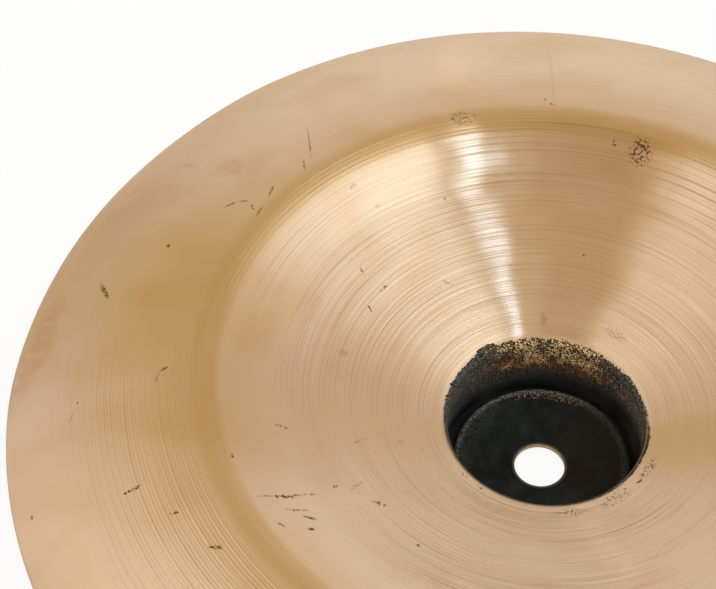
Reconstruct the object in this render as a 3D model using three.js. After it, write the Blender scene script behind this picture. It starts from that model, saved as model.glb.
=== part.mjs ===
// China cymbal: one disc of bronze, cast, rolled, hammered and turned to shape, here lying on its bell.
// From the hole outwards the sheet makes a flat seat, a raised platform, a narrow groove, the steep
// wall of a drum-shaped bell, a lip, the bow that rises to the crease, and the flange that falls away to the rim.
// Z points up through the hole, and the origin is the centre of the circle that the bell rests on.

import * as THREE from "three";

// Driving sizes, in millimetres. Diameters and heights are those of the face that looks up.
const cymbalDiameter = 305;
const creaseDiameter = 194;
const bellMouthDiameter = 56.4;
const bellFootDiameter = 58;
const platformDiameter = 52.6;
const seatDiameter = 26;
const holeDiameter = 15;

const bellDepth = 23.8;
const platformHeight = 4.9;
const seatHeight = 0.6;
const bowRise = 26.8;
const flangeFall = 14.2;

const bellThickness = 1.4;
const rimThickness = 1;

const seatRound = 12;
const platformRound = 1.9;
const grooveRound = 1.05;
const lipRound = 4;
const creaseRound = 20;

// How far out, and how far up or down, the pull points of the bow and of the flange lie.
const bowReachShare = 0.535;
const bowPullShare = 0.49;
const flangeReachShare = 0.557;
const flangePullShare = 0.056;

// How finely the rounds, the sweeps, the rim and the turn about the axis are cut.
const roundStep = THREE.MathUtils.degToRad(30);
const longestChord = 3;
const sweepSteps = 5;
const rimSteps = 4;
const turnSteps = 72;

// Radii and heights that follow from these. The groove's underside is what the cymbal rests on, and the
// rounded edge of the sloping rim stands a quarter of its thickness outside the upper face's last point.
const grooveLevel = bellThickness;
const seatLevel = grooveLevel + seatHeight;
const platformLevel = grooveLevel + platformHeight;
const lipLevel = grooveLevel + bellDepth;
const creaseLevel = lipLevel + bowRise;
const rimRadius = cymbalDiameter / 2 - rimThickness / 4;
const creaseRadius = creaseDiameter / 2;
const mouthRadius = bellMouthDiameter / 2;

const between = THREE.MathUtils.lerp;
const at = (radius, level) => new THREE.Vector2(radius, level);

// The upper face as corners, from the hole to the rim. A corner with a round is an arc of that radius,
// a corner that pulls bends a long sweep between its neighbours, and the rest are left sharp.
const corners = [
  { point: at(holeDiameter / 2, seatLevel) },
  { point: at(seatDiameter / 2, seatLevel), round: seatRound },
  { point: at(platformDiameter / 2, platformLevel), round: platformRound },
  { point: at(platformDiameter / 2, grooveLevel), round: grooveRound },
  { point: at(bellFootDiameter / 2, grooveLevel), round: grooveRound },
  { point: at(mouthRadius, lipLevel), round: lipRound },
  {
    point: at(
      between(mouthRadius, creaseRadius, bowReachShare),
      between(lipLevel, creaseLevel, bowPullShare),
    ),
    pulls: true,
  },
  { point: at(creaseRadius, creaseLevel), round: creaseRound },
  {
    point: at(
      between(creaseRadius, rimRadius, flangeReachShare),
      creaseLevel - flangeFall * flangePullShare,
    ),
    pulls: true,
  },
  { point: at(rimRadius, creaseLevel - flangeFall) },
];

// The direction that lies a quarter turn to the left: seen along the face, it points out of the metal.
const leftOf = (direction) => at(-direction.y, direction.x);

// The points of one corner's arc, each with the direction of the face there.
function arcOf(index) {
  const { point, round = 0 } = corners[index];
  const before = corners[index - 1]?.point;
  const after = corners[index + 1]?.point;
  const arriving = (before ? point.clone().sub(before) : after.clone().sub(point)).normalize();
  const leaving = (after ? after.clone().sub(point) : arriving.clone()).normalize();
  const turn = Math.atan2(arriving.cross(leaving), arriving.dot(leaving));
  if (!round) {
    const along = arriving.clone().add(leaving).divideScalar(1 + arriving.dot(leaving));
    return [{ point, along }];
  }
  const side = Math.sign(turn);
  const arcAngle = Math.abs(turn);
  const start = point.clone().addScaledVector(arriving, -round * Math.tan(arcAngle / 2));
  const centre = start.addScaledVector(leftOf(arriving), side * round);
  const steps = Math.ceil(Math.max(arcAngle / roundStep, (arcAngle * round) / longestChord));
  return Array.from({ length: steps + 1 }, (_, step) => {
    const along = arriving.clone().rotateAround(at(0, 0), (turn * step) / steps);
    return { point: centre.clone().addScaledVector(leftOf(along), -side * round), along };
  });
}

// The whole upper face: arcs joined by straight stretches or by the sweeps of the corners that pull.
function upperFace() {
  const arcs = corners.map((corner, index) => (corner.pulls ? [] : arcOf(index)));
  return corners.flatMap((corner, index) => {
    if (!corner.pulls) return arcs[index];
    const from = arcs[index - 1].at(-1).point;
    const sweep = new THREE.QuadraticBezierCurve(from, corner.point, arcs[index + 1][0].point);
    return Array.from({ length: sweepSteps - 1 }, (_, step) => {
      const share = (step + 1) / sweepSteps;
      return { point: sweep.getPoint(share), along: sweep.getTangent(share) };
    });
  });
}

// The sheet keeps its full thickness in the bell and thins evenly from the lip to the rim.
function thicknessAt(radius) {
  const share = THREE.MathUtils.clamp((radius - mouthRadius) / (rimRadius - mouthRadius), 0, 1);
  return between(bellThickness, rimThickness, share);
}

// The closed section: out along the upper face, round the rim's edge, and back along the underside.
function section() {
  const upper = upperFace();
  const lower = upper.map(({ point, along }) =>
    point.clone().addScaledVector(leftOf(along), -thicknessAt(point.x)),
  );
  const rim = upper.at(-1);
  const rimCentre = rim.point.clone().addScaledVector(leftOf(rim.along), -rimThickness / 2);
  const edge = Array.from({ length: rimSteps - 1 }, (_, step) => {
    const turn = (-Math.PI * (step + 1)) / rimSteps;
    return rim.point.clone().rotateAround(rimCentre, turn);
  });
  const hole = upper[0].point;
  const loop = [...upper.map(({ point }) => point), ...edge, ...lower.reverse(), hole.clone()];
  return loop.reverse();
}

const bronze = new THREE.MeshStandardMaterial({
  color: 0xcda778,
  roughness: 0.3,
  metalness: 1,
});

// The lathe turns the section about Y, so the cymbal is stood up to bring its axis to Z.
function cymbal() {
  const geometry = new THREE.LatheGeometry(section(), turnSteps).rotateX(Math.PI / 2);
  const mesh = new THREE.Mesh(geometry, bronze);
  mesh.name = "cymbal";
  return mesh;
}

const chinaCymbal = new THREE.Group();
chinaCymbal.add(cymbal());

export default chinaCymbal;
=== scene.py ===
# %% [markdown]
# # A china cymbal in hammered and turned bronze
# The real object is one disc of tin bronze. It is cast, rolled, hammered hot into a drum-shaped bell and a
# cupped bow, and then turned on a lathe, which leaves bright metal and fine rings everywhere except inside
# the bell, where the black scale of the forge stays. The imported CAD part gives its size. This lesson builds
# the fine surface over it and gives it the finish.

# %% Load the frame
import math

import bmesh
import bpy
from mathutils import Matrix, Vector


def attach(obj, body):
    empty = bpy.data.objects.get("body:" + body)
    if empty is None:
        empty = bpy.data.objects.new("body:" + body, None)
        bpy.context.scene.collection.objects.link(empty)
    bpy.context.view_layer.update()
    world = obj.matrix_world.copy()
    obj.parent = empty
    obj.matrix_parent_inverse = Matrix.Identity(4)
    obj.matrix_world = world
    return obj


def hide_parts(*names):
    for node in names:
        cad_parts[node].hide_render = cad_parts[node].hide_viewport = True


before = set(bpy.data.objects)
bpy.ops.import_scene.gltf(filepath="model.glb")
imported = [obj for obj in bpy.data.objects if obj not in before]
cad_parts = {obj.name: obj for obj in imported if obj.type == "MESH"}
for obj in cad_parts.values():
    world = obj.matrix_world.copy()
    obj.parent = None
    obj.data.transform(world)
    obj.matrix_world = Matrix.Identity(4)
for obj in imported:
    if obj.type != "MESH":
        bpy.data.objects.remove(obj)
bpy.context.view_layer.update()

# %% [markdown]
# ## Sizes
# The lesson repeats the driving sizes of the part, in millimetres, so that the fine mesh follows the same
# section: hole, flat seat, raised platform, groove, bell wall, lip, bow, crease, flange and rim.

# %% Driving sizes
MM = 0.001

CYMBAL_DIAMETER = 305
CREASE_DIAMETER = 194
BELL_MOUTH_DIAMETER = 56.4
BELL_FOOT_DIAMETER = 58
PLATFORM_DIAMETER = 52.6
SEAT_DIAMETER = 26
HOLE_DIAMETER = 15

BELL_DEPTH = 23.8
PLATFORM_HEIGHT = 4.9
SEAT_HEIGHT = 0.6
BOW_RISE = 26.8
FLANGE_FALL = 14.2

BELL_THICKNESS = 1.4
RIM_THICKNESS = 1.0

SEAT_ROUND = 12
PLATFORM_ROUND = 1.9
GROOVE_ROUND = 1.05
LIP_ROUND = 4
CREASE_ROUND = 20

BOW_REACH_SHARE = 0.535
BOW_PULL_SHARE = 0.49
FLANGE_REACH_SHARE = 0.557
FLANGE_PULL_SHARE = 0.056

# %% Radii and heights that follow
groove_level = BELL_THICKNESS
seat_level = groove_level + SEAT_HEIGHT
platform_level = groove_level + PLATFORM_HEIGHT
lip_level = groove_level + BELL_DEPTH
crease_level = lip_level + BOW_RISE
hole_radius = HOLE_DIAMETER / 2
mouth_radius = BELL_MOUTH_DIAMETER / 2
crease_radius = CREASE_DIAMETER / 2
platform_radius = PLATFORM_DIAMETER / 2
foot_radius = BELL_FOOT_DIAMETER / 2
rim_radius = CYMBAL_DIAMETER / 2 - RIM_THICKNESS / 4
print("crease at", crease_level, "mm, lip at", lip_level, "mm above the floor")

# %% [markdown]
# ## The camera
# The view looks down into the hollow side from about 54 degrees, half a metre away, with the camera rolled a
# little. A long lens gives the photograph's mild perspective. The camera is aimed so that the middle of the
# bell's mouth falls on its own pixel of the picture.

# %% Make the camera
PICTURE_WIDTH, PICTURE_HEIGHT = 716, 589
MOUTH_PIXEL = (545.7, 420.2)
FOCAL_PIXELS = 1800
SENSOR_WIDTH = 36
VIEW_ELEVATION = math.radians(53.65)
VIEW_ROLL = math.radians(8.06)
VIEW_DISTANCE = 522.9 * MM
MOUTH_BELOW_LIP = 0.4 * MM


def make_camera():
    """Stands the camera at its distance, turned to the mouth and rolled, with the mouth on its own pixel."""
    target = Vector((0, 0, lip_level * MM - MOUTH_BELOW_LIP))
    back = Vector((0, -math.cos(VIEW_ELEVATION), math.sin(VIEW_ELEVATION)))
    up = Vector((0, math.sin(VIEW_ELEVATION), math.cos(VIEW_ELEVATION)))
    facing = Matrix((Vector((1, 0, 0)), up, back)).transposed()
    roll = Matrix.Rotation(-VIEW_ROLL, 3, "Z")
    across = (MOUTH_PIXEL[0] - PICTURE_WIDTH / 2) / FOCAL_PIXELS
    down = (MOUTH_PIXEL[1] - PICTURE_HEIGHT / 2) / FOCAL_PIXELS
    swing = Vector((0, 0, -1)).rotation_difference(Vector((across, -down, -1))).to_matrix()
    data = bpy.data.cameras.new("camera")
    data.sensor_width = SENSOR_WIDTH
    data.lens = SENSOR_WIDTH * FOCAL_PIXELS / PICTURE_WIDTH
    camera = bpy.data.objects.new("camera", data)
    turn = facing @ roll.transposed() @ swing.transposed()
    camera.matrix_world = Matrix.Translation(target + back * VIEW_DISTANCE) @ turn.to_4x4()
    bpy.context.scene.collection.objects.link(camera)
    bpy.context.scene.camera = camera
    print("camera at", [round(v, 3) for v in camera.location], "with a lens of", round(data.lens, 1), "mm")


make_camera()

# %% [markdown]
# ## The section
# A lathe part is fully described by its section, so the section is worked out first. The face that looks up
# is a chain of corners. A corner with a round becomes an arc, and the two corners of the bow and the flange
# pull a long smooth sweep. The underside lies one sheet thickness below, and the rim's edge is a half circle.

# %% Corners of the upper face
def between(low, high, share):
    return low + (high - low) * share


CORNERS = [
    (Vector((hole_radius, seat_level)), 0),
    (Vector((SEAT_DIAMETER / 2, seat_level)), SEAT_ROUND),
    (Vector((PLATFORM_DIAMETER / 2, platform_level)), PLATFORM_ROUND),
    (Vector((PLATFORM_DIAMETER / 2, groove_level)), GROOVE_ROUND),
    (Vector((BELL_FOOT_DIAMETER / 2, groove_level)), GROOVE_ROUND),
    (Vector((mouth_radius, lip_level)), LIP_ROUND),
    (Vector((between(mouth_radius, crease_radius, BOW_REACH_SHARE),
             between(lip_level, crease_level, BOW_PULL_SHARE))), None),
    (Vector((crease_radius, crease_level)), CREASE_ROUND),
    (Vector((between(crease_radius, rim_radius, FLANGE_REACH_SHARE),
             crease_level - FLANGE_FALL * FLANGE_PULL_SHARE)), None),
    (Vector((rim_radius, crease_level - FLANGE_FALL)), 0),
]


def left_of(direction):
    """A quarter turn to the left, which points out of the metal on the way from the hole to the rim."""
    return Vector((-direction.y, direction.x))


# %% Arcs and sweeps
ARC_STEP = math.radians(7)


def turned(direction, angle):
    return Matrix.Rotation(angle, 2) @ direction


def arc_at(index):
    """The arc of one corner, as places with the direction of the face at each."""
    point, round_radius = CORNERS[index]
    first, last = index == 0, index == len(CORNERS) - 1
    arriving = (point - CORNERS[index - 1][0]).normalized() if not first else None
    leaving = (CORNERS[index + 1][0] - point).normalized() if not last else None
    if first or last:
        return [(point, arriving or leaving)]
    turn = math.atan2(arriving.x * leaving.y - arriving.y * leaving.x, arriving.dot(leaving))
    side = math.copysign(1, turn)
    start = point - arriving * round_radius * math.tan(abs(turn) / 2)
    centre = start + left_of(arriving) * side * round_radius
    steps = max(2, math.ceil(abs(turn) / ARC_STEP))
    directions = [turned(arriving, turn * step / steps) for step in range(steps + 1)]
    return [(centre - left_of(d) * side * round_radius, d) for d in directions]


def stretch(start, pull, end, spacing):
    """The places between two arcs, along a straight line or a sweep towards a pull point."""
    pull = pull or (start + end) / 2
    length = (pull - start).length + (end - pull).length
    steps = max(2, round(length / spacing))
    places = []
    for step in range(1, steps):
        share = step / steps
        along = (pull - start) * (1 - share) + (end - pull) * share
        place = start * (1 - share) ** 2 + pull * 2 * share * (1 - share) + end * share**2
        places.append((place, along.normalized()))
    return places


# %% Upper and lower face
def face_places(bell_spacing, bow_spacing):
    """All places of the upper face, close together where the lathe rings show and wider in the bell."""
    arcs = {i: arc_at(i) for i, (point, round_radius) in enumerate(CORNERS) if round_radius is not None}
    places, previous = [], None
    for index in sorted(arcs):
        if previous is not None:
            pull = CORNERS[index - 1][0] if index - previous == 2 else None
            spacing = bow_spacing if pull else bell_spacing
            places += stretch(arcs[previous][-1][0], pull, arcs[index][0][0], spacing)
        places += arcs[index]
        previous = index
    return places


def thickness_at(radius):
    """The sheet keeps its thickness in the bell and thins evenly from the lip to the rim."""
    share = min(1, max(0, (radius - mouth_radius) / (rim_radius - mouth_radius)))
    return between(BELL_THICKNESS, RIM_THICKNESS, share)


# %% Close the section
UPPER_BOW_SPACING = 0.68
LOWER_BOW_SPACING = 1.8
BELL_SPACING = 1.0
RIM_STEPS = 8
UPPER_MARK, EDGE_MARK, LOWER_MARK = 1.0, 0.5, 0.0


def section_loop():
    """Places from the hole out to the rim, back below and up the bore, each with the mark of its face."""
    upper = face_places(BELL_SPACING, UPPER_BOW_SPACING)
    lower = [(place - left_of(along) * thickness_at(place.x), LOWER_MARK)
             for place, along in face_places(BELL_SPACING, LOWER_BOW_SPACING)]
    rim_place, rim_along = upper[-1]
    centre = rim_place - left_of(rim_along) * RIM_THICKNESS / 2
    spoke = rim_place - centre
    edge = [(centre + turned(spoke, -math.pi * step / RIM_STEPS), EDGE_MARK) for step in range(1, RIM_STEPS)]
    bore = [(between(lower[0][0], upper[0][0], share), EDGE_MARK) for share in (0.5, 1)]
    return [(place, UPPER_MARK) for place, along in upper] + edge + lower[::-1] + bore


section = section_loop()
print("section of", len(section), "places, widest radius",
      round(max(place.x for place, mark in section), 3), "mm")

# %% [markdown]
# ## Turning the section with Geometry Nodes
# A cymbal's shape follows a rule: one section goes round an axis. So a node tree makes it. A grid has one
# column for each step of the turn and one row for each place of the section. Each grid point looks up its
# place by its row and is carried round by its column, and the seam is merged. Then the tree does what the
# maker's hands do: it leaves shallow hammer marks, sets the bell's platform a little off the axis, and lets
# the rim drop, wander and lose its round, as a hand-made rim does.

# %% A helper that adds a node
# The kinds of node that come most often, and the settings that many of them share. A math or vector node that
# is given no operation adds.
MATH, VECTORS, STEP, MIX = "ShaderNodeMath", "ShaderNodeVectorMath", "ShaderNodeMapRange", "ShaderNodeMix"
TIMES = {"operation": "MULTIPLY"}
TIMES_PLUS = {"operation": "MULTIPLY_ADD"}
MINUS = {"operation": "SUBTRACT"}
OVER = {"operation": "DIVIDE"}
SCALED = {"operation": "SCALE"}
SMOOTH = {"interpolation_type": "SMOOTHSTEP"}
COLOURS = {"data_type": "RGBA"}


def add(tree, kind, *inputs, **settings):
    """Adds a node with its settings, feeds its inputs with sockets or values, and gives its first output.

    Inputs come in order, or in a dictionary by name. Sockets that the settings put out of use don't count.
    """
    made = tree.nodes.new(kind)
    for name, value in settings.items():
        setattr(made, name, value)
    sockets = [socket for socket in made.inputs if socket.enabled]
    if inputs and isinstance(inputs[0], dict):
        sockets = [made.inputs[name] for name in inputs[0]]
        inputs = inputs[0].values()
    for socket, value in zip(sockets, inputs):
        if isinstance(value, bpy.types.NodeSocket):
            tree.links.new(value, socket)
        else:
            socket.default_value = value
    return next((socket for socket in made.outputs if socket.enabled), None)


# %% The section as a mesh of edges
def section_object():
    """The section in the XZ plane, as the geometry that the node tree turns."""
    data = bpy.data.meshes.new("section")
    points = [(place.x * MM, 0, place.y * MM) for place, mark in section]
    data.from_pydata(points, [(i, i + 1) for i in range(len(points) - 1)], [])
    marks = data.attributes.new("upper_face", "FLOAT", "POINT")
    marks.data.foreach_set("value", [mark for place, mark in section])
    made = bpy.data.objects.new("cymbal_visual", data)
    bpy.context.scene.collection.objects.link(made)
    return made


# %% Inputs of the tree
TURN_STEPS = 216
MAKERS_HAND = {
    "Hammer depth": 0.05 * MM,
    "Hammer spacing": 38 * MM,
    "Platform shift": 0.6 * MM,
    "Rim drop": 0.9 * MM,
    "Rim wander": 0.5 * MM,
    "Rim dent": 1.25 * MM,
}


def tree_with_inputs():
    tree = bpy.data.node_groups.new("Turned sheet", "GeometryNodeTree")
    sockets = tree.interface
    sockets.new_socket("Section", in_out="INPUT", socket_type="NodeSocketGeometry")
    sockets.new_socket("Turn steps", in_out="INPUT", socket_type="NodeSocketInt")
    for name in MAKERS_HAND:
        sockets.new_socket(name, in_out="INPUT", socket_type="NodeSocketFloat")
    sockets.new_socket("Finish", in_out="INPUT", socket_type="NodeSocketMaterial")
    sockets.new_socket("Sheet", in_out="OUTPUT", socket_type="NodeSocketGeometry")
    return tree


# %% Carry the section round the axis
HALF_A_ROW = 0.5
SEAM_REACH = 0.003


def turned_grid(tree, given):
    """A grid whose rows are the section's places and whose columns go once round the axis."""
    rows = add(tree, "GeometryNodeAttributeDomainSize", given["Section"]).node.outputs["Point Count"]
    columns = add(tree, MATH, given["Turn steps"], 1)
    grid = add(tree, "GeometryNodeMeshGrid", {"Vertices X": columns, "Vertices Y": rows})
    index = add(tree, "GeometryNodeInputIndex")
    row = add(tree, MATH, index, rows, operation="MODULO")
    passed = add(tree, MATH, add(tree, MATH, index, HALF_A_ROW), rows, **OVER)
    column = add(tree, MATH, passed, operation="FLOOR")
    angle = add(tree, MATH, add(tree, MATH, column, given["Turn steps"], **OVER), 2 * math.pi, **TIMES)
    position = add(tree, "GeometryNodeInputPosition")
    upper = add(tree, "GeometryNodeInputNamedAttribute", {"Name": "upper_face"}, data_type="FLOAT")
    place = add(tree, "GeometryNodeSampleIndex",
                {"Geometry": given["Section"], "Value": position, "Index": row}, data_type="FLOAT_VECTOR")
    mark = add(tree, "GeometryNodeSampleIndex", {"Geometry": given["Section"], "Value": upper, "Index": row})
    carried = add(tree, "ShaderNodeVectorRotate", {"Vector": place, "Angle": angle}, rotation_type="Z_AXIS")
    shaped = add(tree, "GeometryNodeSetPosition", {"Geometry": grid, "Position": carried})
    stored = add(tree, "GeometryNodeStoreNamedAttribute",
                 {"Geometry": shaped, "Name": "upper_face", "Value": mark})
    return add(tree, "GeometryNodeMergeByDistance", {"Geometry": stored, "Distance": SEAM_REACH * MM})


# %% Bearings round the axis
PLATFORM_BEARING = math.radians(25)
RIM_DROP_BEARING = math.radians(110)
RIM_LOBE_BEARING = math.radians(107)
RIM_LOBES = 4
RIM_DENT_BEARING = math.radians(163)
RIM_DENT_HALF_ANGLE = math.radians(30)


def facing(tree, bearing, towards, times=1):
    """1 on the side that faces the given bearing, -1 opposite, and so on for each lobe."""
    away = add(tree, MATH, bearing, towards, **MINUS)
    return add(tree, MATH, add(tree, MATH, away, times, **TIMES), operation="COSINE")


# %% Hammer, platform and rim
# Most of a noise lies in the middle half of 0 to 1, so four times its spread fills -1 to 1.
NOISE_SPREAD = 4.0
HAMMER_SEED = 4.7
HAMMER_DETAIL = 2.0
HAMMER_REACH = (3, 12)
PLATFORM_SHIFT_RISE = (15, 26)


def centred_noise(tree, vector, scale, detail=1.0):
    """Noise from about -1 to 1."""
    noise = add(tree, "ShaderNodeTexNoise", {"Vector": vector, "Scale": scale, "Detail": detail})
    return add(tree, MATH, noise, NOISE_SPREAD, -NOISE_SPREAD / 2, **TIMES_PLUS)


def hammer_lift(tree, given, flat, radius):
    """Shallow dents and rises that the hammer left in the bow and the flange."""
    worked = add(tree, STEP, radius, *[(mouth_radius + reach) * MM for reach in HAMMER_REACH], **SMOOTH)
    seeded = add(tree, VECTORS, flat, (0, 0, HAMMER_SEED))
    scale = add(tree, MATH, 1.0, given["Hammer spacing"], **OVER)
    blows = centred_noise(tree, seeded, scale, HAMMER_DETAIL)
    return add(tree, MATH, add(tree, MATH, blows, given["Hammer depth"], **TIMES), worked, **TIMES)


def rim_lift(tree, given, bearing, outward):
    """The rim hangs lower at the back and rises and falls in four shallow lobes."""
    behind = add(tree, MATH, facing(tree, bearing, RIM_DROP_BEARING), 0.5, 0.5, **TIMES_PLUS)
    drop = add(tree, MATH, behind, given["Rim drop"], **TIMES)
    lobes = facing(tree, bearing, RIM_LOBE_BEARING, RIM_LOBES)
    wander = add(tree, MATH, lobes, given["Rim wander"], **TIMES)
    return add(tree, MATH, add(tree, MATH, wander, drop, **MINUS), outward, **TIMES)


def sideways(tree, given, flat, radius, bearing, outward):
    """One place of the rim is pressed in, and the bell's platform lies a little to one side."""
    spoke = add(tree, VECTORS, flat, operation="NORMALIZE")
    towards_dent = facing(tree, bearing, RIM_DENT_BEARING)
    pressed = add(tree, STEP, towards_dent, math.cos(RIM_DENT_HALF_ANGLE), 1.0, **SMOOTH)
    dent = add(tree, MATH, add(tree, MATH, pressed, outward, **TIMES), given["Rim dent"], **TIMES)
    rim_move = add(tree, VECTORS, spoke, add(tree, MATH, dent, -1.0, **TIMES), **SCALED)
    rise = add(tree, STEP, radius, *[reach * MM for reach in PLATFORM_SHIFT_RISE], **SMOOTH)
    fall = add(tree, STEP, radius, platform_radius * MM, foot_radius * MM, 1.0, 0.0, **SMOOTH)
    share = add(tree, MATH, add(tree, MATH, rise, fall, **TIMES), given["Platform shift"], **TIMES)
    towards = (math.cos(PLATFORM_BEARING), math.sin(PLATFORM_BEARING), 0)
    return add(tree, VECTORS, rim_move, add(tree, VECTORS, towards, share, **SCALED))


def worked_surface(tree, given, sheet):
    """Moves the whole sheet as the maker's hands did."""
    x, y, z = add(tree, "ShaderNodeSeparateXYZ", add(tree, "GeometryNodeInputPosition")).node.outputs
    flat = add(tree, "ShaderNodeCombineXYZ", x, y)
    radius = add(tree, VECTORS, flat, operation="LENGTH")
    bearing = add(tree, MATH, y, x, operation="ARCTAN2")
    outward = add(tree, STEP, radius, crease_radius * MM, rim_radius * MM, **SMOOTH)
    lift = add(tree, MATH, hammer_lift(tree, given, flat, radius), rim_lift(tree, given, bearing, outward))
    up = add(tree, "ShaderNodeCombineXYZ", {"Z": lift})
    move = add(tree, VECTORS, up, sideways(tree, given, flat, radius, bearing, outward))
    return add(tree, "GeometryNodeSetPosition", {"Geometry": sheet, "Offset": move})


# %% Build the tree
def turned_sheet_tree():
    tree = tree_with_inputs()
    given = add(tree, "NodeGroupInput").node.outputs
    sheet = worked_surface(tree, given, turned_grid(tree, given))
    smooth = add(tree, "GeometryNodeSetShadeSmooth", sheet)
    real = add(tree, "GeometryNodeRealizeInstances", smooth)
    finished = add(tree, "GeometryNodeSetMaterial", {"Geometry": real, "Material": given["Finish"]})
    add(tree, "NodeGroupOutput", finished)
    return tree


# %% [markdown]
# ## Bronze, and how its finish is made
# Cymbal bronze is copper with about a fifth of tin, a pale reddish gold. As a metal it takes all of its look
# from what it mirrors. The lathe leaves rings too fine to see, and they stretch every highlight across them,
# which gives the fans of light that run from bell to rim. The shader gets that from anisotropy, with a
# tangent that points outwards, across the rings. The rings that can be seen, a millimetre or two apart, are
# walls that lean the normal and floors darkened with painted shade: as bump they would blur, because they
# are as narrow as a pixel.

# %% Colours
def linear(code):
    """An sRGB hex code as linear red, green, blue and alpha."""
    parts = [int(code[i:i + 2], 16) / 255 for i in (0, 2, 4)]
    return (*[p / 12.92 if p <= 0.04045 else ((p + 0.055) / 1.055) ** 2.4 for p in parts], 1.0)


BRONZE = linear("d6baa4")
BRONZE_ROSY = linear("d6b89d")
# Golden bronze is the tone of the clouds, and also the colour of the painted shade at the crease and on the
# near side.
BRONZE_GOLDEN = linear("c2955a")
RING_SHADE = linear("8d6a44")
SCALE_BLACK = linear("0d1216")
SCALE_GREY = linear("212629")
SCALE_BROWN = linear("1f1812")
SCALE_RUSTY_LIT = linear("5a3822")
SCALE_HIGHLIGHT_GREY = linear("9c9a97")
GRAIN_COPPER = linear("d98a58")
GRAIN_GOLD = linear("ffe2ac")

# %% [markdown]
# Where a place lies on the cymbal decides its finish, so the shader first works out how far each point is
# from the axis. All lengths in the shader are in millimetres, read from Object coordinates.

# %% Places on the surface
def surface_places(tree):
    """Object coordinates in millimetres, their distance from the axis, and the directions out and round."""
    metres = add(tree, "ShaderNodeTexCoord").node.outputs["Object"]
    place = add(tree, VECTORS, metres, 1 / MM, **SCALED)
    height = add(tree, "ShaderNodeSeparateXYZ", place).node.outputs["Z"]
    flat = add(tree, VECTORS, place, (1, 1, 0), **TIMES)
    radius = add(tree, VECTORS, flat, operation="LENGTH")
    spoke = add(tree, VECTORS, flat, operation="NORMALIZE")
    outward = add(tree, "ShaderNodeVectorTransform", spoke,
                  vector_type="VECTOR", convert_from="OBJECT", convert_to="WORLD")
    around = add(tree, VECTORS, (0, 0, 1), outward, operation="CROSS_PRODUCT")
    upper = add(tree, "ShaderNodeAttribute", attribute_name="upper_face").node.outputs["Fac"]
    return {"place": place, "height": height, "flat": flat, "radius": radius, "spoke": spoke,
            "outward": outward, "around": around, "upper": upper}


def side(tree, where, degrees):
    """1 on the side at the given bearing round the axis, 0 a quarter turn away and -1 opposite."""
    bearing = math.radians(degrees)
    towards = (math.cos(bearing), math.sin(bearing), 0)
    return add(tree, VECTORS, where["spoke"], towards, operation="DOT_PRODUCT")


def on_side(tree, where, degrees, start, end, low=0.0, high=1.0):
    """A smooth step from low to high towards a bearing, between two values of the side."""
    return add(tree, STEP, side(tree, where, degrees), start, end, low, high, **SMOOTH)


def band(tree, value, edges, inside=1.0, outside=0.0):
    """One value between the middle two edges, another beyond the outer two."""
    rise = add(tree, STEP, value, edges[0], edges[1], **SMOOTH)
    fall = add(tree, STEP, value, edges[2], edges[3], 1.0, 0.0, **SMOOTH)
    return add(tree, MATH, add(tree, MATH, rise, fall, **TIMES), inside - outside, outside, **TIMES_PLUS)


# %% Noises
# Each noise has the size of its patches in mm, the seed that sets it apart from the others, and its detail.
NOISES = {
    "clouds": (24.0, 1.0, 1.5),
    "sway": (16.0, 4.5, 1.0),
    "mottling": (5.0, 2.0, 4.0),
    "patches": (4.5, 3.0, 2.0),
    "ragged edge": (2.6, 9.0, 3.0),
    "crust": (1.0, 4.0, 3.0),
    "crumbled edge": (0.6, 6.0, 0.5),
    "speckle": (0.5, 12.0, 1.0),
    "grains": (0.46, 7.0, 1.4),
}
# Noises of the rings also drift: this share of a place is how quickly they change along a ring.
RING_NOISES = {
    "wander": (8.0, 5.0, 0.004),
    "press": (2.4, 8.0, 0.02),
    "fine": (0.07, 11.0, 0.02),
}
SEED_STEP = 500
NOISE_ROUGHNESS = 0.55


def soft_noise(tree, vector, size, seed, detail):
    """Noise in patches of about the given size, each seed in its own part of the noise."""
    apart = add(tree, VECTORS, vector, (0, 0, SEED_STEP * seed))
    return add(tree, "ShaderNodeTexNoise",
               {"Vector": apart, "Scale": 1 / size, "Detail": detail, "Roughness": NOISE_ROUGHNESS})


def ring_noise(tree, where, pitch, seed, drift):
    """Noise of about -1 to 1 that changes quickly across the rings and slowly along them."""
    drifting = add(tree, VECTORS, where["flat"], drift, **SCALED)
    dx, dy, dz = add(tree, "ShaderNodeSeparateXYZ", drifting).node.outputs
    across = add(tree, MATH, where["radius"], 1 / pitch, seed, **TIMES_PLUS)
    return centred_noise(tree, add(tree, "ShaderNodeCombineXYZ", dx, dy, across), 1.0)


# %% Grooves of the lathe tool
# Each set has its pitch and width in mm, the zone of radii it covers, how far its walls lean, how much
# painted shade darkens its floors, and where round the axis it shows: a bearing, two limits of the side, and
# the share elsewhere.
RING_SETS = {
    "bow": {"pitch": 1.5, "width": 0.25, "zone": (8, 48, 70, 84), "slope": 0.28, "shade": 0.22,
            "side": (100, -0.25, 0.15, 0.22)},
    "behind": {"pitch": 2.3, "width": 0.45, "zone": (70, 78, 93, 98), "slope": 0.38, "shade": 0.26,
               "side": (84, 0.76, 0.93, 0.0)},
    "crest": {"pitch": 1.25, "width": 0.22, "zone": (92.5, 94, 98, 101), "slope": 0.60, "shade": 0.12,
              "side": (115, -0.2, 0.6, 0.25)},
    "flange": {"pitch": 1.9, "width": 0.28, "zone": (99, 103, 122, 142), "slope": 0.60, "shade": 0.14,
               "side": (214, 0.84, 0.97, 0.0)},
}
SECOND_GROOVE = {"start": 0.47, "width": 0.8, "depth": 0.5}
FINE_RINGS = {"slope": 0.40, "zone": (29, 35, 70, 82), "elsewhere": 0.3}
PATH_WANDER = 0.22
PRESS = {"spread": 0.75, "middle": 0.7}


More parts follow.
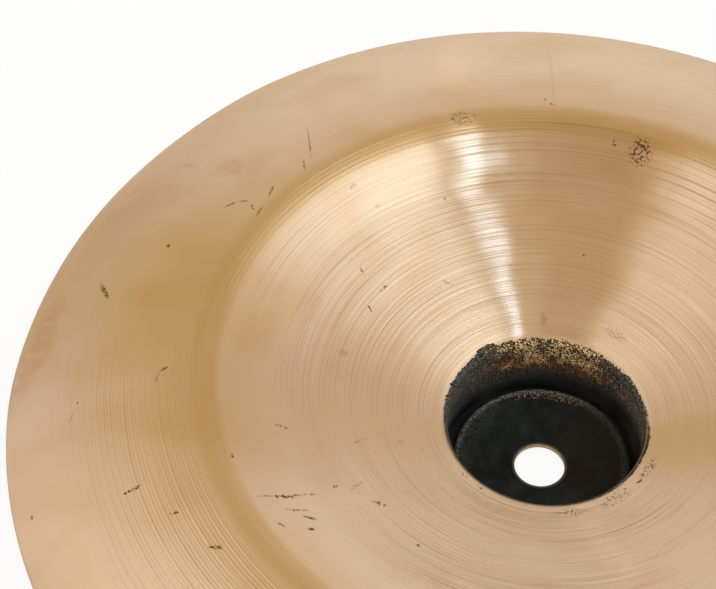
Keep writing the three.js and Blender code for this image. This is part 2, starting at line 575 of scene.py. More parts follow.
def groove(tree, turns, start, width):
    """One V groove in each turn of the tool: the lean of its two walls, and how deep in it a place lies."""
    turned_by = add(tree, MATH, add(tree, MATH, turns, start), operation="FRACT")
    across = add(tree, MATH, add(tree, MATH, turned_by, 0.5, **MINUS), width, **OVER)
    fading = add(tree, MATH, add(tree, MATH, across, across, **TIMES), -1.0, **TIMES)
    depth = add(tree, MATH, fading, operation="EXPONENT")
    return add(tree, MATH, across, depth, **TIMES), depth


def tool_path(tree, where, rings, wander, press):
    """The wall lean and the shade of one set: a deep groove and a shallow one in each turn of the tool."""
    turns = add(tree, MATH, where["radius"], 1 / rings["pitch"], wander, **TIMES_PLUS)
    share = rings["width"] / rings["pitch"]
    deep = groove(tree, turns, 0.0, share)
    shallow = groove(tree, turns, SECOND_GROOVE["start"], share * SECOND_GROOVE["width"])
    bearing, start, end, elsewhere = rings["side"]
    shown = on_side(tree, where, bearing, start, end, elsewhere, 1.0)
    zone = band(tree, where["radius"], rings["zone"])
    pressed = add(tree, MATH, add(tree, MATH, press, shown, **TIMES), zone, **TIMES)
    both = [add(tree, MATH, second, SECOND_GROOVE["depth"], first, **TIMES_PLUS)
            for first, second in zip(deep, shallow)]
    lean, depth = [add(tree, MATH, part, pressed, **TIMES) for part in both]
    return add(tree, MATH, lean, rings["slope"], **TIMES), add(tree, MATH, depth, rings["shade"], **TIMES)


def lathe_rings(tree, where):
    """The lean of all groove walls, and the painted shade in the floor of a groove, uneven as the tool was
    pressed.
    """
    wander, press, fine = [ring_noise(tree, where, *noise) for noise in RING_NOISES.values()]
    wander = add(tree, MATH, wander, PATH_WANDER, **TIMES)
    press = add(tree, MATH, press, PRESS["spread"], PRESS["middle"], use_clamp=True, **TIMES_PLUS)
    fine = add(tree, MATH, fine, FINE_RINGS["slope"], **TIMES)
    covered = band(tree, where["radius"], FINE_RINGS["zone"], 1.0, FINE_RINGS["elsewhere"])
    slope = add(tree, MATH, fine, covered, **TIMES)
    floor = 0.0
    for rings in RING_SETS.values():
        lean, shade = tool_path(tree, where, rings, wander, press)
        slope = add(tree, MATH, slope, lean)
        floor = add(tree, MATH, floor, shade)
    return {
        "slope": add(tree, MATH, slope, where["upper"], **TIMES),
        "floor": add(tree, MATH, floor, where["upper"], **TIMES),
    }


# %% The leaned normal
# The sheet sways a little between the hammer's blows, and one flat spot behind the bell widens a highlight.
SWAY_LEAN = 0.016
FLAT_SPOT = {"bearing": 112, "half_angles": (10, 3), "zone": (64, 80, 92, 95.5), "lean": 0.14}
QUARTER_TURN = 90


def flat_spot(tree, where):
    """How far the normal leans along the rings where the hammer left the bow flatter."""
    across = side(tree, where, FLAT_SPOT["bearing"] - QUARTER_TURN)
    limits = [math.cos(math.radians(angle)) for angle in FLAT_SPOT["half_angles"]]
    near = on_side(tree, where, FLAT_SPOT["bearing"], *limits)
    zone = band(tree, where["radius"], FLAT_SPOT["zone"], -FLAT_SPOT["lean"], 0.0)
    return add(tree, MATH, add(tree, MATH, near, zone, **TIMES), across, **TIMES)


def grooved_normal(tree, where, rings):
    """The surface's normal, leaned across the rings by their walls and along them by the uneven sheet."""
    normal = add(tree, "ShaderNodeNewGeometry").node.outputs["Normal"]
    lean = add(tree, VECTORS, where["outward"], rings["slope"], **SCALED)
    uneven = soft_noise(tree, where["flat"], *NOISES["sway"])
    spread = NOISE_SPREAD * SWAY_LEAN
    sway = add(tree, MATH, uneven, spread, -spread / 2, **TIMES_PLUS)
    sway = add(tree, MATH, sway, flat_spot(tree, where))
    along = add(tree, VECTORS, where["around"], sway, **SCALED)
    leaned = add(tree, VECTORS, add(tree, VECTORS, normal, lean), along)
    return add(tree, VECTORS, leaned, operation="NORMALIZE")


# %% Bronze colour
# Zones and reaches are measured from the crease, in mm.
ROSE = {"reach": (2, 14), "share": 0.8}
# The crease band and the near-side band are painted shade: darker golden bronze in place of darker
# reflections.
CREASE_SHADE = {"zone": (-7, -2, 1, 7), "share": 0.5}
NEAR_SIDE_SHADE = {"bearing": 225, "side": (0.3, 0.9), "zone": (-23, -6, 2, 20), "share": 0.22}
CLOUDS = {"limits": (0.42, 0.72), "share": 0.26, "mouth_share": 0.2, "mouths_wide": 2.5}


def from_crease(reaches):
    return [crease_radius + reach for reach in reaches]


def bronze_colour(tree, where, rings):
    """Pale bronze, rosier on the flange, clouds of tone, painted shade golden at crease and near side, dark
    in grooves.
    """
    flange = add(tree, STEP, where["radius"], *from_crease(ROSE["reach"]), **SMOOTH)
    base = add(tree, MIX, add(tree, MATH, flange, ROSE["share"], **TIMES), BRONZE, BRONZE_ROSY, **COLOURS)
    noise = soft_noise(tree, where["place"], *NOISES["clouds"])
    cloudy = add(tree, STEP, noise, *CLOUDS["limits"], 0.0, CLOUDS["share"], **SMOOTH)
    reach = mouth_radius * CLOUDS["mouths_wide"]
    grown = add(tree, STEP, where["radius"], mouth_radius, reach, CLOUDS["mouth_share"], 1.0, **SMOOTH)
    toned = add(tree, MIX, add(tree, MATH, cloudy, grown, **TIMES), base, BRONZE_GOLDEN, **COLOURS)
    # Painted shade: a darker golden band just inside the crease, and on the near side of the bow and flange.
    inside = band(tree, where["radius"], from_crease(CREASE_SHADE["zone"]))
    near = on_side(tree, where, NEAR_SIDE_SHADE["bearing"], *NEAR_SIDE_SHADE["side"])
    near = add(tree, MATH, near, NEAR_SIDE_SHADE["share"], **TIMES)
    near = add(tree, MATH, near, band(tree, where["radius"], from_crease(NEAR_SIDE_SHADE["zone"])), **TIMES)
    inside = add(tree, MATH, inside, CREASE_SHADE["share"], **TIMES)
    painted_shade = add(tree, MATH, inside, near, operation="MAXIMUM")
    banded = add(tree, MIX, painted_shade, toned, BRONZE_GOLDEN, **COLOURS)
    # Painted shade darkens the floors of the grooves.
    return add(tree, MIX, rings["floor"], banded, RING_SHADE, **COLOURS)


# %% [markdown]
# ## Forge scale
# Hot bronze grows a black oxide skin. The lathe can't reach inside the bell, so the skin stays there, matt
# and mottled, with a ragged edge at the lip where the tool ran out. Grains of bare metal show through where
# it flaked: crowded, golden to copper-coloured, high on the far wall, and as a thin line along the platform's
# edge. Their brightness and their crowding on the lit upper wall are partly painted glints and light. A
# painted highlight greys the platform's edge on one side, and a painted sheen greys the upper wall towards
# the left.
# Oxide isn't a metal, so the metallic value drops on it too.

# %% Where the scale is
SCALE_EDGE = 29.3
SCALE_RAGGED = 1.6
SCALE_CRUMBLED = 1.1
SCALE_SOFTNESS = 0.06
SCALE_LEAN = {"bearing": 120, "reach": 0.5}
SCALE_NEAR = {"bearing": 315, "side": (0.3, 0.95), "reach": 0.9}
SCALE_TONGUE = {"bearing": 133, "half_angle": 9, "reach": 1.3}
LIP_LINE = {"zone": (28.8, 28.95, 29.15, 29.3), "bearing": 305, "side": (0.25, 0.6), "share": 0.8, "below": 1}
BORE_CLEAN = (0.06, 0.12)


def scale_edge(tree, where):
    """The radius at which the scale ends: ragged, crumbled, wider on one side, with a tongue and a bulge."""
    ragged = soft_noise(tree, where["place"], *NOISES["ragged edge"])
    crumbled = soft_noise(tree, where["place"], *NOISES["crumbled edge"])
    middle = SCALE_EDGE - (SCALE_RAGGED + SCALE_CRUMBLED) / 2
    edge = add(tree, MATH, ragged, SCALE_RAGGED, middle, **TIMES_PLUS)
    edge = add(tree, MATH, crumbled, SCALE_CRUMBLED, edge, **TIMES_PLUS)
    edge = add(tree, MATH, side(tree, where, SCALE_LEAN["bearing"]), SCALE_LEAN["reach"], edge, **TIMES_PLUS)
    narrow = math.cos(math.radians(SCALE_TONGUE["half_angle"]))
    tongue = on_side(tree, where, SCALE_TONGUE["bearing"], narrow, 1.0, 0.0, SCALE_TONGUE["reach"])
    near = on_side(tree, where, SCALE_NEAR["bearing"], *SCALE_NEAR["side"], 0.0, SCALE_NEAR["reach"])
    return add(tree, MATH, add(tree, MATH, edge, tongue), near)


def scale_cover(tree, where):
    """1 on the scale of the upper face, from the drilled hole to its edge at the lip, 0 on turned metal."""
    inside = add(tree, MATH, scale_edge(tree, where), where["radius"], **MINUS)
    cover = add(tree, STEP, inside, -SCALE_SOFTNESS, SCALE_SOFTNESS, **SMOOTH)
    drilled = add(tree, STEP, where["radius"], *[hole_radius + reach for reach in BORE_CLEAN], **SMOOTH)
    cover = add(tree, MATH, add(tree, MATH, cover, drilled, **TIMES), where["upper"], **TIMES)
    # Along one side the crest of the lip is rubbed bare of scale.
    high = add(tree, STEP, where["height"], lip_level - LIP_LINE["below"], lip_level, **SMOOTH)
    handled = on_side(tree, where, LIP_LINE["bearing"], *LIP_LINE["side"], 0.0, LIP_LINE["share"])
    line = band(tree, where["radius"], LIP_LINE["zone"])
    bright_edge = add(tree, MATH, add(tree, MATH, line, high, **TIMES), handled, **TIMES)
    return add(tree, MATH, cover, add(tree, MATH, 1.0, bright_edge, **MINUS), **TIMES)


# %% Bare grains, and the painted highlight and sheen
# Heights are in mm above the floor, radii in mm. A side with four numbers also has its low and high value.
# The grains crowd high on the far wall, where it is lit: real grains, with painted light and glints there.
LIT_CROWD = {"bearing": 92, "side": (0.60, 0.93), "height": (7, 16), "clumps": (0.38, 0.58, 0.7, 1.0),
         "share": 0.34}
PLATFORM_TOP = (3.6, 4.6, 6.6, 7.4)
GRAIN_LINE = {"zone": (21.8, 22.8, 23.6, 24.6), "bearing": 93, "side": (0.80, 0.95), "share": 0.22}
# The edge highlight and the wall sheen are painted light: lighter grey scale where light catches the
# platform's edge and the upper wall.
EDGE_HIGHLIGHT = {"zone": (23.2, 24.9, 26.4, 27.4), "bearing": 130, "side": (0.0, 0.85, 0.15, 1.0)}
WALL_SHEEN = {"bearing": 165, "slant": 4.0, "height": (6.6, 15.0, 0.0, 0.46), "far_bearing": 105,
        "side": (-0.6, 0.0)}
WALL_GRAINS = {"height": (9, 17, 21, 23.5), "share": 0.20}
GRAIN_THRESHOLD = 0.82
GRAIN_SOFTNESS = 0.04


def bell_zones(tree, where):
    """Where the grains crowd on the lit wall, where they line the platform's edge, and where painted
    highlight and sheen fall.
    """
    behind = on_side(tree, where, LIT_CROWD["bearing"], *LIT_CROWD["side"])
    high = add(tree, STEP, where["height"], *LIT_CROWD["height"], **SMOOTH)
    patches = soft_noise(tree, where["place"], *NOISES["patches"])
    clumps = add(tree, STEP, patches, *LIT_CROWD["clumps"], **SMOOTH)
    lit_crowd = add(tree, MATH, add(tree, MATH, behind, high, **TIMES), clumps, **TIMES)
    on_platform = band(tree, where["height"], PLATFORM_TOP)
    line, bright_edge = [
        add(tree, MATH,
            add(tree, MATH, band(tree, where["radius"], zone["zone"]), on_platform, **TIMES),
            on_side(tree, where, zone["bearing"], *zone["side"]), **TIMES)
        for zone in (GRAIN_LINE, EDGE_HIGHLIGHT)
    ]
    # Painted sheen: the upper wall towards the left is painted lighter grey, except where grains crowd.
    slanted = side(tree, where, WALL_SHEEN["bearing"])
    slanted = add(tree, MATH, slanted, WALL_SHEEN["slant"], where["height"], **TIMES_PLUS)
    sheen = add(tree, STEP, slanted, *WALL_SHEEN["height"], **SMOOTH)
    sheen = add(tree, MATH, sheen, on_side(tree, where, WALL_SHEEN["far_bearing"], *WALL_SHEEN["side"]), **TIMES)
    sheen = add(tree, MATH, sheen, add(tree, MATH, 1.0, lit_crowd, **MINUS), **TIMES)
    return {"lit_crowd": lit_crowd, "line": line, "bright_edge": bright_edge, "sheen": sheen, "patches": patches}


def bare_grains(tree, where, zones, cover):
    """Grains of metal in the scale, from a fine noise that passes its threshold more where they crowd on the
    lit wall.
    """
    grains = soft_noise(tree, where["place"], *NOISES["grains"])
    wall = band(tree, where["height"], WALL_GRAINS["height"], WALL_GRAINS["share"])
    lit_crowded = add(tree, MATH, zones["lit_crowd"], LIT_CROWD["share"], **TIMES)
    wanted = add(tree, MATH, lit_crowded, wall, operation="MAXIMUM")
    wanted = add(tree, MATH, zones["line"], GRAIN_LINE["share"], wanted, **TIMES_PLUS)
    grains = add(tree, MATH, grains, wanted)
    shown = add(tree, STEP, grains, GRAIN_THRESHOLD, GRAIN_THRESHOLD + GRAIN_SOFTNESS, **SMOOTH)
    return add(tree, MATH, shown, cover, **TIMES)


# %% Colour of the scale
MOTTLED = (0.40, 0.70)
BROWN_SIDE = {"bearing": 15, "side": (0.2, 1.0, 0.0, 0.8)}
LIT_RUST_SHARE = 0.5
SPECKLED = (0.42, 0.60)


def scale_colour(tree, where, zones):
    """Blue-black oxide, greyer and browner in patches, rusty and lit where grains crowd, painted highlight
    and sheen on top.
    """
    mottled = add(tree, STEP, soft_noise(tree, where["place"], *NOISES["mottling"]), *MOTTLED, **SMOOTH)
    greyed = add(tree, MIX, mottled, SCALE_BLACK, SCALE_GREY, **COLOURS)
    brown_side = on_side(tree, where, BROWN_SIDE["bearing"], *BROWN_SIDE["side"])
    browned = add(tree, MIX, brown_side, greyed, SCALE_BROWN, **COLOURS)
    # Rusty brown, partly painted light, where the grains crowd on the lit far wall.
    lit_rust = add(tree, MATH, zones["lit_crowd"], LIT_RUST_SHARE, **TIMES)
    rusty_lit = add(tree, MIX, lit_rust, browned, SCALE_RUSTY_LIT, **COLOURS)
    speckle = add(tree, STEP, soft_noise(tree, where["place"], *NOISES["speckle"]), *SPECKLED, **SMOOTH)
    # Painted highlight on the platform's edge and painted sheen on the upper wall, as speckled lighter grey.
    overlay = add(tree, MATH, zones["bright_edge"], zones["sheen"], operation="MAXIMUM")
    return add(tree, MIX, add(tree, MATH, overlay, speckle, **TIMES), rusty_lit, SCALE_HIGHLIGHT_GREY, **COLOURS)


# %% [markdown]
# ## Marks
# A hand-made cymbal isn't spotless: it has pits from the casting, nicks and scratches from the workshop, a
# hair crack in its skin and a yellow stain. Each is a stroke at its own place, in millimetres on the upper
# face: its middle, its length and width, the way it points, and how dark it is. One warped copy of the place
# frays them all, and two dot products measure how far along and across a stroke each point lies.

# %% The marks
MARKS = [  # name, x, y, length, width, degrees, kind
    ("pit cluster", 17.4, 88.6, 9.5, 7.5, -83, "pits"),
    ("pit beside it", 9.2, 90.4, 2.4, 1.4, -83, "pits"),
    ("dots by the crease", -38.2, 91.0, 9.5, 6.5, 22, "specks"),
    ("hair crack", -13.1, 117.6, 40.0, 0.4, -81, "faint"),
    ("specks", -14.0, 103.5, 1.5, 1.0, -29, "brown"),
    ("more specks", -11.4, 101.8, 2.1, 1.0, -35, "brown"),
    ("dot on the bow", -39.5, 64.1, 0.9, 0.8, 16, "dark"),
    ("dot above the bell", 4.6, 55.6, 0.8, 0.8, 6, "dark"),
    ("long nick above the bell", -34.5, 38.7, 4.3, 0.8, -4, "faint"),
    ("bent scratch, low half", -101.5, 42.8, 5.6, 0.8, 40, "brown"),
    ("bent scratch, high half", -97.6, 44.7, 3.8, 0.9, 7, "brown"),
    ("long flange scratch", -83.4, 73.1, 16.5, 0.6, -74, "brown"),
    ("its end", -82.8, 62.3, 5.5, 0.6, -72, "brown"),
    ("crumbs at the crease", -90.4, 49.9, 6.2, 0.9, 85, "brown"),
    ("more crumbs", -92.2, 41.0, 4.6, 0.8, 79, "brown"),
    ("last crumbs", -94.5, 42.3, 3.5, 0.7, -52, "brown"),
    ("yellow stain", -105.7, 59.8, 11.0, 9.0, 40, "stain"),
    ("spot on the flange", -116.1, 25.0, 1.3, 1.3, 1, "dark"),
    ("flange smudge", -119.1, 62.6, 6.3, 1.0, -35, "faint"),
    ("bow nick", -59.6, 33.2, 3.0, 0.8, -50, "brown"),
    ("wide bow nick", -52.7, 30.4, 4.1, 1.0, 59, "brown"),
    ("fine bow nick", -55.4, 22.4, 2.6, 0.6, -53, "dark"),
    ("nick by the crease", -59.0, 55.5, 2.3, 0.8, 35, "faint"),
    ("bow smudge", -67.1, 58.9, 2.6, 1.8, 52, "faint"),
    ("golden tint of the rim", -146.0, -12.0, 46.0, 9.0, 86, "stain"),
    ("gouge", -131.1, 7.5, 8.6, 1.6, -57, "brown"),
    ("heart of the gouge", -130.5, 7.0, 6.1, 0.7, -60, "dark"),
    ("spot near the rim", -127.6, -33.3, 0.9, 0.8, -2, "dark"),
    ("scratch near the rim", -128.0, -37.9, 4.1, 0.7, 81, "faint"),
    ("double pit", -105.7, -60.8, 2.6, 1.1, 24, "dark"),
    ("its other half", -103.7, -59.5, 3.1, 1.0, 46, "dark"),
    ("low scratch", -91.7, -65.9, 2.8, 0.7, 17, "dark"),
    ("low pit", -78.8, -74.5, 3.8, 1.1, 3, "dark"),
    ("left scratch", -106.8, -23.8, 3.6, 0.6, 81, "brown"),
    ("end of the left scratch", -105.6, -20.9, 2.5, 0.8, 41, "dark"),
    ("rim spots", -131.1, -67.5, 1.6, 0.7, -52, "dark"),
    ("spot at the crease", -80.9, -45.2, 1.7, 0.8, -68, "dark"),
    ("long bow scratch", -64.5, -52.2, 18.0, 0.7, 28, "brown"),
    ("its heart", -65.2, -53.1, 6.9, 1.0, 25, "dark"),
    ("short scratches", -61.2, -56.4, 6.4, 1.0, 21, "brown"),
    ("darker short scratch", -57.5, -57.7, 4.2, 1.0, 4, "dark"),
    ("slanting scratch", -64.2, -63.2, 4.5, 0.7, -19, "brown"),
    ("last short scratch", -56.3, -61.6, 2.4, 1.0, 15, "dark"),
    ("nick above them", -53.5, -43.4, 1.6, 0.9, 54, "dark"),
    ("row of dashes", -48.1, -40.7, 6.6, 1.1, 62, "faint"),
    ("lower dashes", -41.2, -44.6, 4.6, 1.4, -6, "brown"),
    ("low dot", -28.7, -56.5, 1.1, 1.1, 20, "dark"),
    ("arc scratch", -50.6, -24.3, 8.2, 0.6, 45, "faint"),
    ("end of the arc scratch", -39.3, -18.9, 3.5, 0.7, -6, "faint"),
    ("middle scratch", -71.1, -28.7, 4.0, 1.0, 0, "brown"),
    ("shade on the bow", -60.2, 4.3, 3.4, 2.9, 25, "faint"),
    ("nick by the lip", 28.2, -17.8, 2.3, 0.9, 45, "dark"),
    ("second nick by the lip", 24.5, -20.9, 1.6, 0.9, 31, "brown"),
    ("third nick by the lip", -15.3, -27.4, 3.2, 1.6, -30, "specks"),
    ("crumbs left of the lip", -20.6, -23.4, 4.2, 1.6, -42, "specks"),
    ("crumbs below the lip", 10.0, -31.8, 13.0, 3.4, 16, "specks"),
    ("crumbs right of the lip", 22.0, -24.6, 12.0, 5.0, 44, "specks"),
    ("crumbs far right of the lip", 30.2, -13.4, 12.0, 3.4, 66, "specks"),
    ("smudge above the lip", -4.9, 34.9, 4.0, 2.4, -80, "faint"),
    ("crumbs behind the lip", 17.0, 32.5, 9.0, 3.0, -30, "faint"),
]
# How strongly each kind colours the metal, its colour, the size of the crumbs it breaks into, and the limits
# of the noise between which it breaks.
KINDS = {
    "stain": {"share": 0.26, "colour": linear("b98a3c"), "crumb": 4.0, "broken": (0.30, 0.62)},
    "faint": {"share": 0.42, "colour": linear("86663f"), "crumb": 0.6, "broken": (0.42, 0.56)},
    "brown": {"share": 0.72, "colour": linear("65462a"), "crumb": 0.6, "broken": (0.40, 0.54)},
    "pits": {"share": 0.85, "colour": linear("5a342a"), "crumb": 0.9, "broken": (0.48, 0.57)},
    "specks": {"share": 0.85, "colour": linear("38271a"), "crumb": 0.45, "broken": (0.57, 0.62)},
    "dark": {"share": 0.85, "colour": linear("3c2a1c"), "crumb": 0.6, "broken": (0.34, 0.48)},
}
FIRST_CRUMB_SEED = 20.0
CRUMB_DETAIL = 1.0
STROKE_EDGE = (0.55, 1.15)
FRAY_SIZE = 0.7
FRAY_DETAIL = 1.0
FRAY = 1.1
FAR_AWAY = 100.0


def stroke(tree, frayed, x, y, length, width, degrees):
    """The square of the distance from a stroke's middle, 1 at its outline.

    The frayed place has a 1 as its third number, so one dot product turns, scales and shifts it at once.
    """
    turn = math.radians(degrees)
    square = 0.0
    for heading, size in ((turn, length), (turn + math.pi / 2, width)):
        along, up = math.cos(heading) * 2 / size, math.sin(heading) * 2 / size
        axis = (along, up, -along * x - up * y)
        offset = add(tree, VECTORS, frayed, axis, operation="DOT_PRODUCT")
        square = add(tree, MATH, offset, offset, square, **TIMES_PLUS)
    return square


def marked(tree, where, colour):
    """The colour with all marks on it: for each kind, its nearest stroke, broken into crumbs."""
    noise = {"Vector": where["flat"], "Scale": 1 / FRAY_SIZE, "Detail": FRAY_DETAIL}
    fray = add(tree, "ShaderNodeTexNoise", noise).node.outputs["Color"]
    pushed = add(tree, VECTORS, fray, (FRAY, FRAY, 0), (-FRAY / 2, -FRAY / 2, 1), **TIMES_PLUS)
    frayed = add(tree, VECTORS, where["flat"], pushed)
    for order, (kind, look) in enumerate(KINDS.items()):
        nearest = FAR_AWAY
        for name, *figures, mark_kind in MARKS:
            if mark_kind == kind:
                square = stroke(tree, frayed, *figures)
                nearest = add(tree, MATH, nearest, square, operation="MINIMUM", label=name)
        crumbs = soft_noise(tree, where["flat"], look["crumb"], FIRST_CRUMB_SEED + order, CRUMB_DETAIL)
        crumbs = add(tree, STEP, crumbs, *look["broken"], **SMOOTH)
        distance = add(tree, MATH, nearest, operation="SQRT")
        cover = add(tree, STEP, distance, *STROKE_EDGE, 1.0, 0.0, **SMOOTH)
        for share in (crumbs, where["upper"], look["share"]):
            cover = add(tree, MATH, cover, share, **TIMES)
        colour = add(tree, MIX, cover, colour, look["colour"], **COLOURS)
    return colour


# %% Metal, roughness and crust
TURNED_ROUGHNESS = 0.21
SMOOTH_ZONE = (72, 82, 90, 94)
SMOOTH_ROUGHNESS = 0.185
OXIDE_ROUGHNESS = 0.36
OXIDE_SPECULAR = 0.25
GRAIN_METAL = 0.15
# Grains turn from copper to brighter gold with height, painted light for the lit upper wall, and patches of
# noise shift the height at which they do.
GRAIN_TONE = {"patches": 24.0, "height": (25.0, 34.0, 0.1, 1.0)}
CRUST = {"depth": 0.05 * MM, "edge": (28, 29)}


def surface_colour(tree, where, rings, zones, cover, grains):
    """Marked bronze with bare grains as painted glints, copper low and golden high on the lit wall, under the
    scale's colour.
    """
    overlay = marked(tree, where, bronze_colour(tree, where, rings))
    # Painted glints and light: bare grains are bright copper low and bright gold high on the lit wall.
    tone_height = add(tree, MATH, zones["patches"], GRAIN_TONE["patches"], where["height"], **TIMES_PLUS)
    tone = add(tree, STEP, tone_height, *GRAIN_TONE["height"], **SMOOTH)
    grain_colour = add(tree, MIX, tone, GRAIN_COPPER, GRAIN_GOLD, **COLOURS)
    bronze = add(tree, MIX, grains, overlay, grain_colour, **COLOURS)
    oxide = add(tree, MATH, cover, grains, use_clamp=True, **MINUS)
    return add(tree, MIX, oxide, bronze, scale_colour(tree, where, zones), **COLOURS)


def crusted_normal(tree, where, rings):
    """The grooved normal with the scale's fine crust as bump."""
    crust = soft_noise(tree, where["place"], *NOISES["crust"])
    in_bell = add(tree, STEP, where["radius"], *CRUST["edge"], 1.0, 0.0, **SMOOTH)
    height = add(tree, MATH, add(tree, MATH, crust, in_bell, **TIMES), where["upper"], **TIMES)
    grooved = grooved_normal(tree, where, rings)
    return add(tree, "ShaderNodeBump",
               {"Strength": 1.0, "Distance": CRUST["depth"], "Height": height, "Normal": grooved})


# %% Put the finish together
def turned_bronze():
    """Cymbal bronze, turned outside and left with its forge scale inside the bell."""
    made = bpy.data.materials.new("Turned tin bronze with forge scale in the bell")
    made.use_nodes = True
    tree = made.node_tree
    tree.nodes.clear()
    where = surface_places(tree)
    rings = lathe_rings(tree, where)
    cover = scale_cover(tree, where)
    zones = bell_zones(tree, where)
    grains = bare_grains(tree, where, zones, cover)
    colour = surface_colour(tree, where, rings, zones, cover, grains)
    turned = band(tree, where["radius"], SMOOTH_ZONE, SMOOTH_ROUGHNESS, TURNED_ROUGHNESS)
    roughness = add(tree, MATH, cover, OXIDE_ROUGHNESS, turned, **TIMES_PLUS)
    bare = add(tree, MATH, 1.0, cover, **MINUS)
    metallic = add(tree, MATH, grains, GRAIN_METAL, bare, **TIMES_PLUS)
    surface = add(tree, "ShaderNodeBsdfPrincipled", {
        "Base Color": colour,
        "Metallic": metallic,
        "Roughness": roughness,
        "Specular IOR Level": OXIDE_SPECULAR,
        "Anisotropic": 1.0,
        "Tangent": where["outward"],
        "Normal": crusted_normal(tree, where, rings),
    })
    add(tree, "ShaderNodeOutputMaterial", surface)
    return made


bronze_finish = turned_bronze()
print("material", bronze_finish.name, "with", len(bronze_finish.node_tree.nodes), "nodes")

# %% [markdown]
# ## Making the cymbal
# The tree goes on the section as a modifier. Its inputs are set by their identifiers, the evaluated result is
# taken as a plain mesh, and the modifier is dropped, so that what rides on the body is a finished mesh.

# %% Turn the cymbal
def turn_cymbal():
    made = section_object()
    tree = turned_sheet_tree()
    modifier = made.modifiers.new("turning", "NODES")
    modifier.node_group = tree
    values = {"Turn steps": TURN_STEPS, "Finish": bronze_finish, **MAKERS_HAND}
    for item in tree.interface.items_tree:
        if item.name in values:
            modifier[item.identifier] = values[item.name]
    made.update_tag()
    seen = made.evaluated_get(bpy.context.evaluated_depsgraph_get())
    plain = bpy.data.meshes.new_from_object(seen)
    made.modifiers.clear()
    made.data = plain
    return made


def face_out(piece):
    """Turns the faces outwards if they enclose a negative volume, and reports the mesh."""
    shell = bmesh.new()
    shell.from_mesh(piece.data)
    if shell.calc_volume(signed=True) < 0:
        bmesh.ops.reverse_faces(shell, faces=shell.faces)
        shell.to_mesh(piece.data)
    open_edges = sum(1 for edge in shell.edges if not edge.is_manifold)
    triangles = sum(len(face.verts) - 2 for face in shell.faces)
    volume = shell.calc_volume(signed=True) / MM**3
    print(piece.name, "has", triangles, "triangles,", open_edges, "open edges and", round(volume), "cubic mm")
    shell.free()


cymbal = turn_cymbal()
face_out(cymbal)
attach(cymbal, "root")
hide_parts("cymbal")

# %% [markdown]
# ## The studio
# A plain white sweep with soft light. Bronze mirrors its surroundings, so the surroundings have to be right:
# a white sweep all round under a dimmer ceiling, a far wall, two large soft boxes to the left and right of
# straight above with dim gaps beside them, a wall at each side, a strip lamp that draws the bright line down
# the bow, and a small lamp in front that lights a patch of the flange. The camera and glass see plain white.

# %% Floor
FLOOR_SIZE = 6.0
FLOOR_WHITE = linear("fdfdfd")
FLOOR_SEEN_WHITE = 0.90
WHITE = (1, 1, 1, 1)


def make_floor():
    """White paper. The camera sees most of it as pure white, and the rest keeps the cymbal's shadow."""
    data = bpy.data.meshes.new("floor")
    half = FLOOR_SIZE / 2
    corners = [(-half, -half, 0), (half, -half, 0), (half, half, 0), (-half, half, 0)]
    data.from_pydata(corners, [], [(0, 1, 2, 3)])
    floor = bpy.data.objects.new("floor", data)
    bpy.context.scene.collection.objects.link(floor)
    paper = bpy.data.materials.new("White paper sweep")
    paper.use_nodes = True
    tree = paper.node_tree
    tree.nodes.clear()
    matt = add(tree, "ShaderNodeBsdfDiffuse", FLOOR_WHITE)
    lit = add(tree, "ShaderNodeEmission", WHITE, 1.0)
    ray = add(tree, "ShaderNodeLightPath").node.outputs["Is Camera Ray"]
    seen = add(tree, "ShaderNodeMixShader", add(tree, MATH, ray, FLOOR_SEEN_WHITE, **TIMES), matt, lit)
    add(tree, "ShaderNodeOutputMaterial", seen)
    data.materials.append(paper)


make_floor()

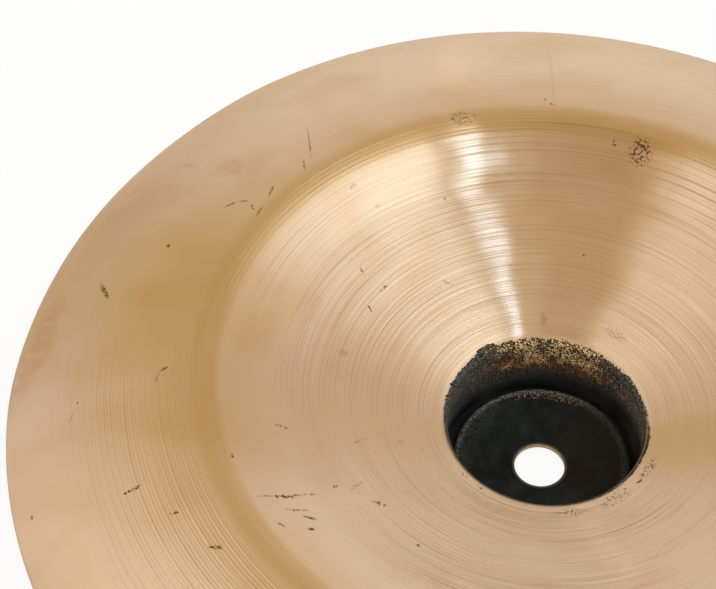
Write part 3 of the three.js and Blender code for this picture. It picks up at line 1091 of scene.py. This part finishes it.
# %% World
# A level mirror at the cymbal's place sends the camera's view to this point of the sky. The fan is the
# bearing round it, in degrees, and the reach is the distance from it, both seen from straight above.
LEVEL_MIRROR = 0.593
FAN_START = 90.0
SWEEP = linear("ffffff")
CEILING = {"tint": linear("eadcb7"), "limits": (0.35, 0.68)}
HORIZON = {"tint": linear("ceb2a8"), "strength": 1.0, "limits": (0.35, 0.05)}
FAR_WALL = {"tint": linear("f7fff6"), "strength": 1.32, "limits": (0.75, 1.08)}
ABOVE_THE_FLOOR = (0.02, 0.12)
PANELS = [  # name, tint, strength, fan edges, reach edges
    ("far dark gap", linear("ffdba3"), 0.51, (74.5, 80.4, 93.2, 102.9), (0.43, 0.56, 0.72, 0.82)),
    ("left wall", linear("ffeeb1"), 0.72, (-36.7, -1.4, -0.4, 14.8), (0.0, 0.04, 0.49, 0.98)),
    ("left soft box", linear("fefff0"), 1.35, (7.0, 52.0, 66.9, 75.6), (0.37, 0.56, 0.97, 1.03)),
    ("right soft box", linear("f1fffc"), 2.15, (111.8, 122.8, 130.1, 188.7), (0.36, 0.54, 0.81, 0.96)),
    ("right wall", linear("fff9d7"), 0.80, (180.7, 187.5, 194.8, 233.9), (0.31, 0.39, 0.58, 0.62)),
    ("dim gap by the left box", linear("fff4e4"), 1.0, (22.0, 32.0, 42.0, 50.0), (0.44, 0.49, 0.56, 0.60)),
    ("small lamp in front", linear("fffdf6"), 1.32, (-71.0, -68.5, -66.0, -63.0), (0.22, 0.30, 0.46, 0.56)),
    ("strip lamp", linear("c4e2ff"), 5.1, (108.2, 109.8, 112.8, 114.6), (0.42, 0.58, 0.82, 0.94)),
]


def make_world():
    """A white sweep, a warm dim ceiling and the panels, all placed by direction."""
    world = bpy.data.worlds.new("studio")
    bpy.context.scene.world = world
    world.use_nodes = True
    tree = world.node_tree
    tree.nodes.clear()
    direction = add(tree, "ShaderNodeTexCoord").node.outputs["Generated"]
    x, y, z = add(tree, "ShaderNodeSeparateXYZ", direction).node.outputs
    forward = add(tree, MATH, LEVEL_MIRROR, y, **MINUS)
    turned_by = add(tree, MATH, add(tree, MATH, x, forward, operation="ARCTAN2"), operation="DEGREES")
    fan = add(tree, MATH, turned_by, FAN_START)
    squares = [add(tree, MATH, value, 2.0, operation="POWER") for value in (x, forward)]
    reach = add(tree, MATH, add(tree, MATH, *squares), operation="SQRT")

    ceiling = add(tree, STEP, z, *CEILING["limits"], **SMOOTH)
    room = add(tree, MIX, ceiling, SWEEP, CEILING["tint"], **COLOURS)
    seen = add(tree, "ShaderNodeBackground", room, 1.0)
    layers = [(name, wall["tint"], wall["strength"], add(tree, STEP, value, *wall["limits"], **SMOOTH))
              for name, wall, value in (("horizon", HORIZON, z), ("far wall", FAR_WALL, y))]
    above = add(tree, STEP, z, *ABOVE_THE_FLOOR, **SMOOTH)
    for name, tint, strength, sides, ends in PANELS:
        cover = add(tree, MATH, band(tree, fan, sides), band(tree, reach, ends), **TIMES)
        layers.append((name, tint, strength, add(tree, MATH, cover, above, **TIMES)))
    for name, tint, strength, cover in layers:
        panel = add(tree, "ShaderNodeBackground", tint, strength, label=name)
        seen = add(tree, "ShaderNodeMixShader", cover, seen, panel)

    rays = add(tree, "ShaderNodeLightPath").node.outputs
    plain = add(tree, MATH, rays["Is Camera Ray"], rays["Is Transmission Ray"], operation="MAXIMUM")
    white = add(tree, "ShaderNodeBackground", WHITE, 1.0)
    add(tree, "ShaderNodeOutputWorld", add(tree, "ShaderNodeMixShader", plain, seen, white))


make_world()
bpy.context.scene.view_settings.view_transform = "Standard"
